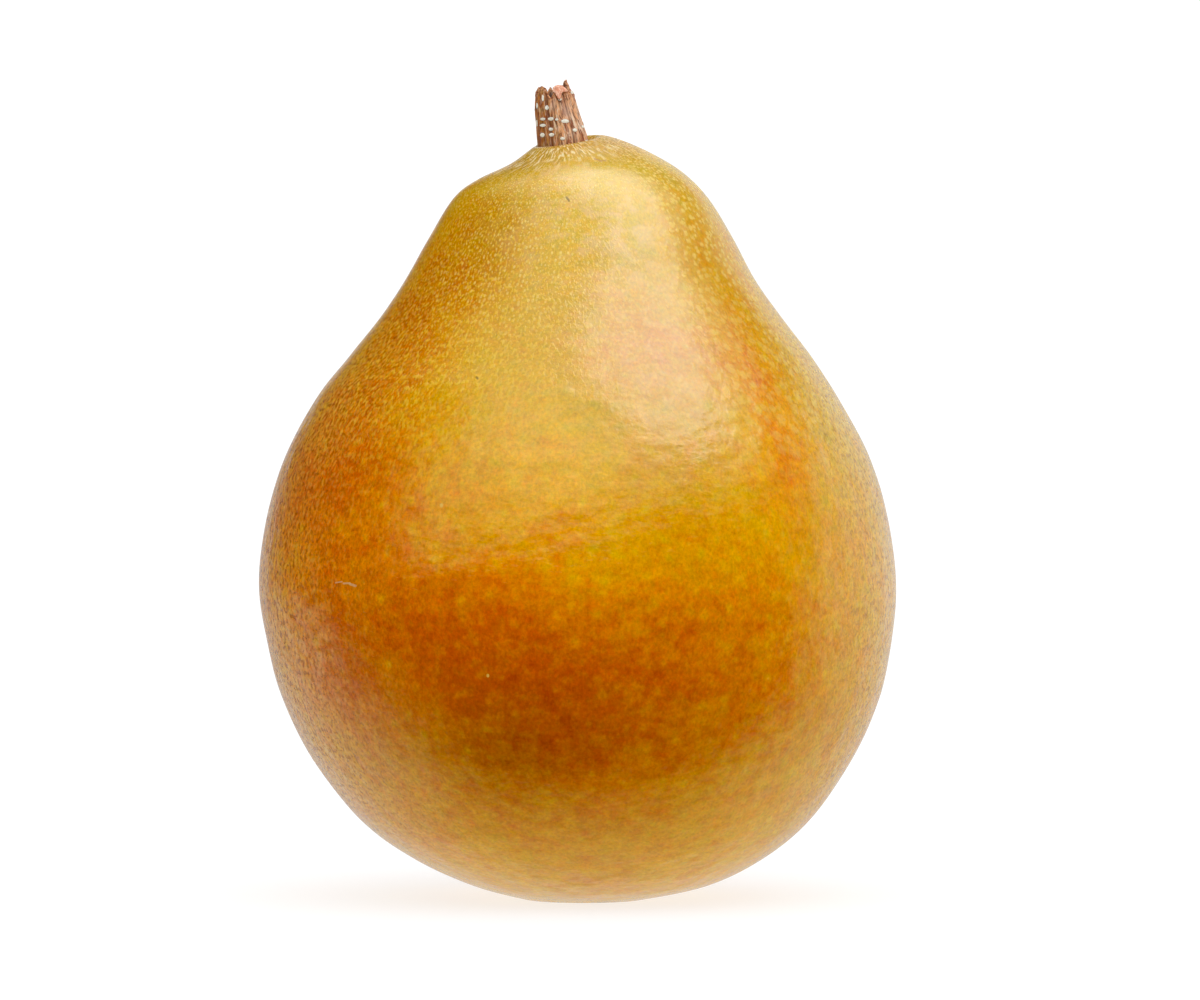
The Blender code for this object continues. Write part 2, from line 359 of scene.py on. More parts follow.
CAMERA_AIM = (2.8, 0, 49.9)
CAMERA_DISTANCE = 800
CAMERA_ELEVATION = 1
FRAME_WIDTH = 150.2
SENSOR_WIDTH = 36
BLACK_LEVEL = 0.012


class Nodes:
    """Short calls that build one node tree."""

    def __init__(self, tree):
        self.tree = tree

    def add(self, kind, inputs=None, **settings):
        node = self.tree.nodes.new("ShaderNode" + kind)
        for name, value in settings.items():
            setattr(node, name, value)
        self.feed_all(node, inputs or {})
        return node

    def feed_all(self, node, inputs):
        for name, value in inputs.items():
            self.feed(node.inputs[name], value)

    def finish(self, shader, colour, roughness, surface):
        self.feed_all(shader, {"Base Color": colour, "Roughness": roughness, "Normal": surface})

    def feed(self, socket, value):
        if isinstance(value, bpy.types.NodeSocket):
            self.tree.links.new(value, socket)
        else:
            socket.default_value = value

    def math(self, operation, one, other=0, third=0):
        return self.add("Math", {0: one, 1: other, 2: third}, operation=operation).outputs[0]

    def plus(self, first, *others):
        for other in others:
            first = self.math("ADD", first, other)
        return first

    def times(self, first, *others):
        for other in others:
            first = self.math("MULTIPLY", first, other)
        return first

    def scaled(self, value, factor, added):
        """A value times a factor, and another value added."""
        return self.math("MULTIPLY_ADD", value, factor, added)

    def length(self, across, up):
        return self.math("SQRT", self.scaled(across, across, self.times(up, up)))

    def blend(self, share, one, other):
        """One number where share is 0 and the other where it is 1."""
        return self.add("Mix", {0: share, 2: one, 3: other}, data_type="FLOAT").outputs[0]

    def fade(self, value, low, high, to_low=0, to_high=1):
        """A soft step from to_low at low to to_high at high."""
        inputs = {"Value": value, "From Min": low, "From Max": high, "To Min": to_low, "To Max": to_high}
        return self.add("MapRange", inputs, interpolation_type="SMOOTHSTEP").outputs[0]

    def field(self, name):
        return self.add("Attribute", attribute_name=name).outputs["Fac"]

    def position(self, stretch=(1, 1, 1)):
        """The place on the object in mm, squeezed along its axes where stretch is under 1."""
        place = self.add("TexCoord").outputs["Object"]
        scale = tuple(value / MM for value in stretch)
        return self.add("VectorMath", {0: place, 1: scale}, operation="MULTIPLY").outputs[0]

    def noise(self, place, size, detail=2, roughness=0.55, distortion=0):
        inputs = {
            "Vector": place, "Scale": 1 / size, "Detail": detail,
            "Roughness": roughness, "Distortion": distortion,
        }
        return self.add("TexNoise", inputs).outputs[0]

    def cells(self, place, size):
        """The distance to the nearest of some scattered points, in cells, and a random value for each."""
        inputs = {"Vector": place, "Scale": 1 / size, "Randomness": 0.9}
        node = self.add("TexVoronoi", inputs, voronoi_dimensions="2D")
        own = self.add("SeparateColor", {0: node.outputs["Color"]}).outputs[0]
        return node.outputs["Distance"], own

    def mix(self, share, one, other, blend="MIX"):
        node = self.add("Mix", data_type="RGBA", blend_type=blend)
        self.feed(node.inputs["Factor"], share)
        for socket, value in ((node.inputs[6], one), (node.inputs[7], other)):
            self.feed(socket, value if isinstance(value, bpy.types.NodeSocket) else (*value, 1))
        return node.outputs[2]

    def paint(self, colour, *layers):
        """A colour with others laid over it in turn, each given as its share and itself."""
        for share, over in layers:
            colour = self.mix(share, colour, over)
        return colour

    def shade(self, colour, factor):
        """A colour made lighter or darker by a factor."""
        grey = self.add("CombineColor", {0: factor, 1: factor, 2: factor}).outputs[0]
        return self.mix(1, colour, grey, "MULTIPLY")

    def centred(self, value, size):
        """A noise moved so that its middle is 0, and made bigger or smaller."""
        return self.times(self.plus(value, -0.5), size)

    def skin_map(self, stretch=(1, 1, 1)):
        """The place on the skin: the angle round and the way down, both in shares of the local radius."""
        place = self.add("UVMap", uv_map=SKIN_MAP).outputs[0]
        return self.add("VectorMath", {0: place, 1: stretch}, operation="MULTIPLY").outputs[0]

    def ramp(self, value, stops):
        """A colour read off a row of stops, whose places may go past 1."""
        reach = stops[-1][0]
        node = self.add("ValToRGB", {0: self.times(value, 1 / reach)})
        elements = node.color_ramp.elements
        while len(elements) < len(stops):
            elements.new(1)
        for element, (place, colour) in zip(elements, stops):
            element.position = place / reach
            element.color = (*colour, 1)
        return node.outputs[0]

    def mark(self, start, end, half_width):
        """1 on a short line on the front of the object, given by (x, z) points in mm, and 0 elsewhere."""
        x, y, z = self.add("SeparateXYZ", {0: self.position()}).outputs
        run = (end[0] - start[0], end[1] - start[1])
        square = run[0] ** 2 + run[1] ** 2
        from_x, from_z = self.plus(x, -start[0]), self.plus(z, -start[1])
        share = self.scaled(from_x, run[0] / square, self.times(from_z, run[1] / square))
        share = self.add("Clamp", {0: share}).outputs[0]
        off_x = self.scaled(share, -run[0], from_x)
        off_z = self.scaled(share, -run[1], from_z)
        on_line = self.fade(self.length(off_x, off_z), half_width * 1.3, half_width * 0.5)
        return self.times(on_line, self.fade(y, 0, -1))

    def bump(self, height, depth, normal=None):
        """A bump whose height, from 0 to 1, stands for a depth in mm."""
        inputs = {"Height": height, "Strength": 1, "Distance": depth * MM}
        if normal is not None:
            inputs["Normal"] = normal
        return self.add("Bump", inputs).outputs[0]


def new_material(name):
    """A material, its nodes and its Principled shader."""
    material = bpy.data.materials.new(name)
    material.use_nodes = True
    return material, Nodes(material.node_tree), material.node_tree.nodes["Principled BSDF"]


def skin_material():
    material, nodes, shader = new_material("skin")
    place = nodes.position()
    own = nodes.skin_map()

    # The ground colour by warmth, in clouds and blotches, with a cooler spot round each large pore
    spot_distance, spot_size = nodes.cells(own, 0.085)
    spots = nodes.fade(spot_distance, nodes.scaled(spot_size, 0.2, 0.16), 0.02)
    warmth = nodes.field("warmth")
    strength = nodes.scaled(warmth, 0.08, 0.3)
    blotches = nodes.plus(*(nodes.centred(nodes.noise(place, *kind), size) for *kind, size in BLOTCHES))
    warmth = nodes.scaled(blotches, strength, warmth)
    warmth = nodes.scaled(nodes.times(spots, strength), -0.4, warmth)
    colour = nodes.ramp(warmth, SKIN_COLOURS)

    # Fine mottling, a little drawn out round the belly, times the painted light and shade of the skin
    flank = nodes.field("pores")
    wavy = nodes.field("wavy")
    streaks = nodes.noise(nodes.position((0.8, 0.8, 1.1)), 1.8, 3, 0.6)
    grain = nodes.noise(nodes.position((1, 1, 0.8)), 0.36, 2, 0.6)
    light = nodes.times(nodes.plus(grain, -0.5), nodes.scaled(flank, 1.1, 0.7))
    light = nodes.scaled(nodes.centred(streaks, 0.5), wavy, light)
    colour = nodes.shade(colour, nodes.times(nodes.plus(light, 1), nodes.field("painted_light_and_shade")))

    # Pale patches in broken streaks on the upper front: painted sheen where the highlights fall, partly the
    # skin's own wax
    sheen_and_bloom = nodes.fade(nodes.noise(nodes.position((0.85, 0.85, 1)), 2, 4, 0.62), 0.42, 0.62)
    sheen_and_bloom = nodes.times(sheen_and_bloom, nodes.field("sheen_and_bloom"))

    # Pale fuzzy spots, close together on the neck
    dot_distance, dot_size = nodes.cells(own, 0.056)
    frayed = nodes.centred(nodes.noise(own, 0.018, 2), 0.6)
    dots = nodes.math("SUBTRACT", nodes.scaled(dot_size, 0.26, 0.22), nodes.plus(dot_distance, frayed))
    dots = nodes.times(nodes.fade(dots, -0.06, 0.2), nodes.field("dots"))

    # Fine pale grains that cover the left of the neck, and scattered specks
    fine = nodes.noise(nodes.skin_map((1, 0.55, 1)), 0.015, 1, 0.5)
    grains = nodes.times(nodes.fade(fine, 0.51, 0.64), nodes.field("grains"))
    speck_distance, speck_size = nodes.cells(nodes.skin_map((1.25, 0.8, 1)), 0.031)
    specks = nodes.math("SUBTRACT", nodes.scaled(speck_size, 0.3, 0.07), speck_distance)
    specks = nodes.times(nodes.fade(specks, 0, 0.1), nodes.field("specks"))

    # Dark pits of all shapes on the shaded flank, with pale skin between them
    rough = nodes.noise(nodes.skin_map((1, 0.75, 1)), 0.015, 2, 0.5)
    pores = nodes.times(nodes.fade(rough, 0.565, 0.605), flank)
    between_pores = nodes.times(nodes.fade(rough, 0.46, 0.36), flank, 0.26)
    colour = nodes.paint(
        colour,
        # Pale tan: dust on the skin with painted sheen on the flanks and underneath
        (nodes.field("dust_and_sheen"), TAN),
        (sheen_and_bloom, SHEEN_AND_BLOOM),
        (nodes.times(dots, 0.6), CREAM),
        (nodes.times(grains, 0.55), GRAIN),
        (nodes.times(specks, 0.8), SPECK),
        (between_pores, CREAM),
        (nodes.times(pores, 0.85), PORE),
    )

    # Pale and dark lines that fan out from the stem
    fan = nodes.noise(nodes.skin_map((1, 0.17, 1)), 0.042, 2, 0.55)
    near_stem = nodes.field("near_stem")
    lines = nodes.times(nodes.fade(fan, 0.52, 0.61), near_stem)
    colour = nodes.shade(colour, nodes.scaled(nodes.centred(fan, 2), near_stem, 1))

    # Russet where the skin meets the stem, and in the basin, and the pale line at the stem's foot
    russet = nodes.fade(nodes.noise(place, 1.1, 3), 0.3, 0.62)
    russet = nodes.times(russet, nodes.field("russet"))
    colour = nodes.paint(
        colour,
        (nodes.times(lines, 0.85), PALE_LINE),
        (russet, TAN),
        (nodes.field("foot_line"), FOOT_LINE),
        *((nodes.times(nodes.mark(*line), 0.6), mark_colour) for *line, mark_colour in MARKS),
    )

    gloss = nodes.scaled(nodes.noise(place, 1.6, 3), 0.12, 0.1)
    gloss = nodes.scaled(nodes.plus(dots, russet), 0.14, gloss)
    ripples = nodes.noise(nodes.position((0.5, 0.5, 1)), 1.8, 3, 0.55)
    surface = nodes.bump(nodes.times(nodes.noise(place, 3.4, 2), wavy), 0.22)
    surface = nodes.bump(nodes.times(ripples, wavy, wavy), 0.13, surface)
    relief = nodes.scaled(pores, -3, grain)
    relief = nodes.scaled(nodes.plus(dots, grains, specks), 0.9, relief)
    relief = nodes.scaled(lines, 1.2, relief)
    nodes.finish(shader, colour, gloss, nodes.bump(relief, 0.016, surface))
    return material


def bark_material():
    material, nodes, shader = new_material("bark")
    place = nodes.position()
    side = nodes.field("side")
    y, z = nodes.add("SeparateXYZ", {0: place}).outputs[1:3]

    def along_fibres(squeeze):
        inputs = {0: nodes.times(side, STEM_WIDTH), 1: y, 2: nodes.times(z, squeeze)}
        return nodes.add("CombineXYZ", inputs).outputs[0]

    def two_tone(size, low, high, one, other):
        return nodes.mix(nodes.fade(nodes.noise(place, size, 3), low, high), one, other)

    fibres = nodes.noise(along_fibres(0.2), 0.45, 3, 0.6, 0.4)
    fine_fibres = nodes.noise(along_fibres(0.14), 0.17, 2)
    silver = nodes.plus(fibres, nodes.centred(nodes.noise(place, 1.8, 2), 0.7))
    silver_share = nodes.fade(side, 0, 0.5, 0.3, 0.85)
    gold = nodes.fade(nodes.noise(place, 0.9, 3), 0.46, 0.64)
    red = nodes.noise(along_fibres(0.3), 0.6, 4, 0.65)
    pore = nodes.field("pore")
    pore = nodes.scaled(pore, nodes.centred(nodes.noise(place, 0.16, 2), 1.6), pore)
    flesh = two_tone(0.35, 0.42, 0.62, TORN_PINK, TORN_PALE)
    crust = two_tone(0.3, 0.42, 0.6, CRUST_DARK, CRUST_LIGHT)
    # Darker towards the left and lighter towards the right, with the silver fibres mostly on the right:
    # painted shade and light across the stem
    colour = nodes.paint(
        nodes.mix(nodes.fade(side, 0.15, 0.6), BARK_SHADED_LEFT, BARK_LIT_RIGHT),
        (nodes.times(nodes.fade(silver, 0.5, 0.72), silver_share), BARK_SILVER),
        (nodes.times(gold, nodes.fade(side, 0.8, 0.25), 0.7), BARK_GOLD),
        (nodes.fade(red, 0.49, 0.6, 0, 0.9), BARK_RED),
        (nodes.fade(fine_fibres, 0.47, 0.34, 0, 0.95), BARK_DARK),
        (nodes.times(nodes.fade(fine_fibres, 0.55, 0.66), silver_share), BARK_SILVER),
        (nodes.times(nodes.field("smooth_bark"), 0.7), BARK_MAUVE),
        # Painted shade in the grooves between the ribs
        (nodes.field("groove_shade"), BARK_DARK),
        # Painted shadow under the flap, and painted shade in the hollow of the broken top
        (nodes.field("under_flap"), PAINTED_SHADE_COLOUR),
        (nodes.field("torn"), nodes.mix(nodes.field("flap"), crust, flesh)),
        (nodes.field("hollow_shade"), PAINTED_SHADE_COLOUR),
        (nodes.fade(pore, 0, 0.3, 0, 0.7), BARK_DARK),
        (nodes.fade(pore, 0.3, 0.6), PORE_CREAM),
    )
    surface = nodes.bump(fine_fibres, 0.05, nodes.bump(fibres, 0.1))
    nodes.finish(shader, colour, nodes.scaled(fibres, 0.25, 0.35), surface)
    return material


def dry_material(name, dark, light, size):
    """A dried, papery or brittle brown, streaked from root to tip."""
    material, nodes, shader = new_material(name)
    streaks = nodes.noise(nodes.position((1, 1, 0.25)), size, 4, 0.6)
    blotches = nodes.noise(nodes.position(), size * 3, 3)
    share = nodes.fade(nodes.plus(streaks, nodes.centred(blotches, 0.6)), 0.35, 0.75)
    colour = nodes.mix(nodes.math("MINIMUM", nodes.plus(share, nodes.field("tip")), 1), dark, light)
    nodes.finish(shader, colour, nodes.scaled(streaks, 0.3, 0.6), nodes.bump(streaks, size * 0.12))
    return material


def spline(values, at):
    """A smooth curve through values, read at an array of whole or part indices."""
    values = np.asarray(values, float)
    index = np.minimum(at.astype(int), len(values) - 2)
    share = at - index
    before, start = values[np.maximum(index - 1, 0)], values[index]
    end, after = values[index + 1], values[np.minimum(index + 2, len(values) - 1)]
    return 0.5 * (
        2 * start
        + (end - before) * share
        + (2 * before - 5 * start + 4 * end - after) * share**2
        + (3 * start - before - 3 * end + after) * share**3
    )


def fade(value, low, high):
    """A soft step from 0 at low to 1 at high."""
    share = np.clip((value - low) / (high - low), 0, 1)
    return share * share * (3 - 2 * share)


def bell(value, reach):
    return np.exp(-((value / reach) ** 2))


def turn_from(degrees, angle):
    """The signed angle in radians from a direction in degrees to an array of angles in radians."""
    return (angle - math.radians(degrees) + math.pi) % (2 * math.pi) - math.pi


def patches(rows, angle, radius, height):
    """The sum of soft patches on the skin, for rows of angle, height, reach round, reach up and amount."""
    total = 0
    for where, middle, around, up, amount in rows:
        total += amount * bell(turn_from(where, angle) * radius, around) * bell(height - middle, up)
    return total


def to_points(x, y, z):
    """Points from one array or number for each axis."""
    return np.stack(np.broadcast_arrays(x, y, z), axis=-1)


def wave(points, size, offset=0):
    """Smooth noise from -1 to 1 at an array of points, in features of one size."""
    shift = Vector((offset, offset * 0.7, -offset))
    flat = points.reshape(-1, 3) / size
    values = [noise.noise(Vector(point) + shift) for point in flat]
    return np.array(values).reshape(points.shape[:-1])


def fruit_surface(at, angle):
    """Points of the skin for arrays of ring positions and angles."""
    left_x, left_z, right_x, right_z = (spline(column, at) for column in zip(*FRUIT_RINGS))
    half_width = np.maximum((right_x - left_x) / 2, 0)
    height = (left_z + right_z) / 2 + (right_z - left_z) / 2 * np.cos(angle)
    shoulder = fade(height, SHOULDER_BEGINS_AT, SHOULDER_ENDS_AT)
    out_of_socket = np.minimum(half_width / SOCKET_RADIUS, 1)
    height = height + SHOULDER_LIFT_AT_BACK * shoulder * out_of_socket * np.sin(angle)
    radius = half_width.copy()
    for lobes, size, middle, reach in LOBES:
        radius += half_width * size * bell(height - middle, reach) * np.sin(lobes * angle)
    radius += patches(SWELLINGS, angle, np.maximum(half_width, 1), height)
    radius = np.where(half_width > 0, radius, 0)
    lean = NECK_LEANS_BACK * fade(height, NECK_BEGINS_AT, SHOULDER_ENDS_AT)
    x = (left_x + right_x) / 2 + radius * np.cos(angle)
    y = lean + radius * DEPTH_SHARE * np.sin(angle)
    return to_points(x, y, np.maximum(height, 0))


def add_object(name, data):
    obj = bpy.data.objects.new(name, data)
    bpy.context.scene.collection.objects.link(obj)
    return obj


def make_mesh(name, points, faces, material):
    """A smooth mesh object from points in mm and faces."""
    mesh = bpy.data.meshes.new(name)
    mesh.from_pydata((np.asarray(points) * MM).tolist(), [], faces)
    mesh.materials.append(material)
    mesh.shade_smooth()
    return add_object(name, mesh)


def add_field(obj, name, values):
    """Stores one number for each point of a mesh."""
    field = obj.data.attributes.new(name, "FLOAT", "POINT")
    field.data.foreach_set("value", values.astype(np.float32))


def lathe_faces(rings, sides, start=0):
    """Faces over rings of points that follow one another, with a first and a last point after them."""
    faces = []
    for ring in range(rings - 1):
        here, below = start + ring * sides, start + (ring + 1) * sides
        for side in range(sides):
            after = (side + 1) % sides
            faces.append((here + side, below + side, below + after, here + after))
    first, last = start + rings * sides, start + rings * sides + 1
    end = start + (rings - 1) * sides
    for side in range(sides):
        after = (side + 1) % sides
        faces.append((first, start + side, start + after))
        faces.append((last, end + after, end + side))
    return faces


def turns(count):
    """Angles that share a full turn evenly."""
    return np.arange(count) * 2 * math.pi / count


def make_fruit():
    last = len(FRUIT_RINGS) - 1
    at = np.arange(1, last * FRUIT_STEPS_BETWEEN_RINGS) / FRUIT_STEPS_BETWEEN_RINGS
    at, angle = np.meshgrid(at, turns(FRUIT_SIDES) + SEAM_AT, indexing="ij")
    points = fruit_surface(at, angle)
    outward = (points - points.mean(axis=1, keepdims=True)) * (1, 1, 0)
    distance = np.linalg.norm(outward, axis=-1)
    sink = np.zeros(distance.shape)
    for size, depth in LUMPS:
        sink += (1 - wave(points, size, size)) * depth / 2
    sink *= fade(distance, *LUMPS_SET_IN)
    height = points[..., 2]
    on_wall = fade(distance, BASIN_RADIUS + 1, BASIN_RADIUS) * fade(distance, 1, 3)
    on_wall *= fade(height, 0.1, 1.2) * (height < BASIN_HEIGHT)
    sink -= FURROW_DEPTH * on_wall * np.abs(np.sin(angle * FURROWS / 2))
    points = points - outward / np.maximum(distance, 0.01)[..., None] * sink[..., None]
    ends = fruit_surface(np.array([0, last]), np.zeros(2))
    points = np.concatenate((points.reshape(-1, 3), ends))
    fruit = make_mesh("pear_fruit", points, lathe_faces(len(at), FRUIT_SIDES), skin_material())
    add_skin_map(fruit, distance.mean(axis=1), height.mean(axis=1))
    add_skin_fields(fruit, points)
    return fruit


def add_skin_map(fruit, radius, height):
    """Maps each corner of each face to its angle round and its way down, in shares of the local radius."""
    step = np.hypot(np.diff(radius), np.diff(height)) / ((radius[1:] + radius[:-1]) / 2)
    way_down = np.concatenate(([0], np.cumsum(step)))
    ring, side = np.meshgrid(np.arange(len(radius) - 1), np.arange(FRUIT_SIDES), indexing="ij")
    around = side[..., None] + (0, 0, 1, 1)
    down = way_down[ring[..., None] + (0, 1, 1, 0)]
    # The corners of the triangles at the top and the bottom, which take turns
    ends = side[0, :, None, None] + ((0.5, 0, 1), (0.5, 1, 0))
    ends_down = np.zeros(ends.shape)
    ends_down[:, 1] = way_down[-1]
    around = np.concatenate((around.ravel(), ends.ravel())) * 2 * math.pi / FRUIT_SIDES
    down = np.concatenate((down.ravel(), ends_down.ravel()))
    corners = fruit.data.uv_layers.new(name=SKIN_MAP)
    corners.data.foreach_set("uv", np.stack((around, down), axis=-1).astype(np.float32).ravel())


def add_skin_fields(fruit, points):
    """Where on the skin each colour and mark lies."""
    x, y, z = points.T
    angle = np.arctan2(y, x - FRUIT_AXIS_X)
    radius = np.hypot(x, y)

    def towards(degrees, reach):
        return bell(turn_from(degrees, angle), math.radians(reach))

    def zone(degrees, reach, none_at, full_at):
        """The side that faces one angle, fading in from one height to another."""
        return towards(degrees, reach) * fade(z, none_at, full_at)

    turn_from_front = np.degrees(turn_from(FRONT, angle))
    from_stem = np.hypot(x - STEM_FOOT_X, y - STEM_Y)
    from_calyx = np.hypot(x - CALYX_X, y)
    on_neck = fade(z, 54, 68)
    near_stem = fade(from_stem, 13, 5) * fade(z, 83, 88) * fade(y, 10, -4)

    # Dots, grains and specks
    right_dots = fade(turn_from_front, 24, 44) * fade(turn_from_front, 150, 100)
    right_dots *= fade(z, 50, 64) * (1 - 0.75 * towards(319, 15) * bell(z - 68, 13))
    grains = zone(226, 44, 44, 70) + 0.2 * on_neck + 0.55 * zone(258, 34, 66, 88)
    left_specks = zone(249, 32, 66, 84)
    stem_specks = fade(from_stem, 24, 12) * fade(z, 84, 89) * (1 - 0.6 * near_stem)
    specks = 0.03 + 0.1 * on_neck + 0.62 * np.maximum(left_specks, stem_specks) + 0.14 * right_dots
    pores = towards(190, 34) + 0.7 * towards(350, 22) + 0.4 * towards(120, 40)

    # Painted sheen, partly the skin's own wax: on the upper front, in a pink patch, as a grey smear of
    # painted reflection on the left, on the neck and on its top
    sheen_and_bloom = 0.05 * zone(FRONT, 36, 47, 58) * fade(z, 92, 84)
    sheen_and_bloom += 0.11 * towards(291, 19) * bell(z - 66, 11)
    sheen_and_bloom += 0.2 * towards(213, 8) * bell(z - 32, 7)
    sheen_and_bloom += 0.4 * bell(x - 3, 9) * bell(z - 84.5, 7) * (y < 0)
    sheen_and_bloom += 0.26 * bell(x + 3, 4) * bell(z - 90.5, 2.5) * (y < 0)

    # Pale tan on the left flank, low on the left and underneath: partly dust on the skin, partly painted
    # sheen along the edges and the underside
    left_flank = 0.36 * zone(187, 22, 74, 56) * fade(z, -6, 14)
    lower_left = 0.2 * towards(216, 22) * bell(z - 20, 15)
    underside = 0.16 * zone(276, 34, 20, 8)

    # Russet in the basin, round the stem's foot and to its right
    basin = fade(from_calyx, 7.5, 4.5) * fade(z, 7, 5)
    collar = 0.55 * fade(from_stem, 4.4, 3.5) * fade(z, 90, 92)
    right_of_stem = 0.6 * bell(x - 5, 3) * fade(z, 91.5, 94)

    # Painted light and shade: lighter or darker at the front by height and in patches, and painted shade
    # near the stem and on the left of the neck
    painted_light_and_shade = 1 + (np.interp(z, *zip(*PAINTED_LIGHT_AND_SHADE)) - 1) * towards(267, 55)
    painted_light_and_shade += patches(PAINTED_SHADE_PATCHES, angle, radius, z)
    warmth = np.interp(z, *zip(*WARMTH)) + patches(SUN_PATCHES, angle, radius, z)
    add_field(fruit, "painted_light_and_shade", painted_light_and_shade - 0.08 * near_stem - 0.05 * left_specks)
    add_field(fruit, "warmth", warmth + 0.06 * (near_stem + left_specks))
    shares = {
        "sheen_and_bloom": sheen_and_bloom,
        "dust_and_sheen": np.maximum(np.maximum(left_flank, lower_left), underside),
        "dots": right_dots + 0.8 * towards(80, 70) * on_neck + 0.06 * on_neck,
        "grains": grains,
        "specks": specks,
        "pores": np.minimum(pores, 1) * fade(z, 0, 12) * fade(z, 92, 66),
        "wavy": 1 - 0.62 * fade(z, 56, 70),
        "near_stem": near_stem,
        "russet": basin + collar + right_of_stem,
        "foot_line": bell(from_stem - 3.45, 0.22) * fade(z, 92.5, 93.5),
    }
    for name, share in shares.items():
        add_field(fruit, name, np.clip(share, 0, 1))


def stem_outline(height):
    """The stem's middle and half-width at an array of heights."""
    heights, lefts, rights = zip(*STEM_RINGS)
    at = np.interp(height, heights, np.arange(len(heights)))
    left, right = spline(lefts, at), spline(rights, at)
    return (left + right) / 2, (right - left) / 2


def stem_place(angle, height, share):
    """Points in the stem at a share of its radius."""
    middle, half_width = stem_outline(height)
    radius = half_width * share
    y = STEM_Y + radius * STEM_DEPTH_SHARE * np.sin(angle)
    return to_points(middle + radius * np.cos(angle), y, height)


def stem_rim(angle):
    """The height of the torn rim at an array of angles."""
    rim = np.full(angle.shape, STEM_RIM_AT)
    for where, half_width, rise, sharpness in STEM_RIM_PEAKS:
        off = np.abs(np.degrees(turn_from(where, angle))) / half_width
        rim += rise * np.exp(-(off**sharpness))
    ring = to_points(np.cos(angle), np.sin(angle), 0)
    rim += 0.1 * wave(ring, 0.16) + 0.1 * wave(ring, 0.06, 3)
    return np.minimum(rim, STEM_TOP)


def stem_ribs(angle, height):
    """How many times its plain radius the stem has, and how much painted shade each point takes in the
    grooves between the ribs.
    """
    share = np.ones(angle.shape)
    groove_shade = np.zeros(angle.shape)
    place = to_points(np.cos(angle), np.sin(angle), height / 5)
    for number, depth, wander in STEM_RIBS:
        drift = wander * wave(place, 1.1, number)
        rib = np.sin(number * angle + drift * 2)
        strength = 0.65 + 0.55 * wave(place, 0.7, number + 9)
        share += depth * (rib - 0.6) * strength
        groove_shade += fade(rib, -0.55, -1) * strength * min(depth * 40, 0.7)
    return share, np.clip(groove_shade, 0, 1)


def stem_pores(points, angle):
    """How much each point of the stem's side is in a pale pore."""
    rng = np.random.default_rng(PORE_SEED)
    amount = np.zeros(len(points))
    front = np.sin(angle) < 0
    for x, z, half_width, half_height in STEM_PORES:
        off = np.hypot((points[:, 0] - x) / half_width, (points[:, 2] - z) / (half_height * PORE_TALLER))
        amount = np.maximum(amount, fade(off, 1.35, 0.75) * front)
    for _ in range(STEM_BACK_PORES):
        where, z = rng.uniform(0.1, math.pi - 0.1), rng.uniform(94.6, 100.4)
        half_width, half_height = rng.uniform(0.14, 0.4), rng.uniform(0.1, 0.2)
        across = turn_from(math.degrees(where), angle) * STEM_RADIUS_AT_BACK
        off = np.hypot(across / half_width, (points[:, 2] - z) / half_height)
        amount = np.maximum(amount, fade(off, 1.15, 0.6))
    return amount


